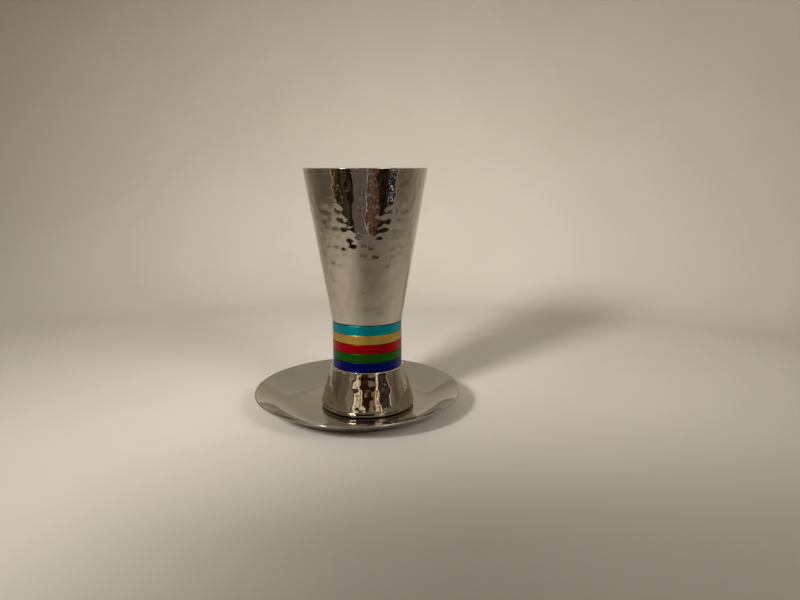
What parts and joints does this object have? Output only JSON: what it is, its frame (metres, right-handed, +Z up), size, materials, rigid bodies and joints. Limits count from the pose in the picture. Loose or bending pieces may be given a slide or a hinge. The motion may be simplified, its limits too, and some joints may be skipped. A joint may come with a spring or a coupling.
{
  "type": "kiddush cup",
  "caption": "Hammered metal kiddush cup with a conical bowl, a waist of coloured anodised rings and a flared foot, standing on a plain shallow saucer",
  "frame": {"origin": "centre of the saucer's underside, on the surface it stands on", "axes": "+Z up along the cup's height; +X towards the side of the saucer that the cup stands nearer to; +Y to the back"},
  "size_m": [0.1232, 0.1232, 0.141],
  "materials": {
    "polished_saucer": "mirror-polished nickel-coloured metal with faint wiping marks",
    "hammered_metal": "mirror-polished nickel-coloured metal, hammered all over in small shallow dents",
    "blue_ring": "turned and anodised deep blue, satin",
    "green_ring": "turned and anodised green, satin",
    "red_ring": "turned and anodised red, satin",
    "gold_ring": "turned and anodised light gold, satin",
    "turquoise_ring": "turned and anodised turquoise, satin"
  },
  "bodies": {
    "root": {"saucer": "polished_saucer", "foot": "hammered_metal", "ring_blue": "blue_ring", "ring_green": "green_ring", "ring_red": "red_ring", "ring_gold": "gold_ring", "ring_turquoise": "turquoise_ring", "bowl": "hammered_metal"}
  },
  "joints": []
}
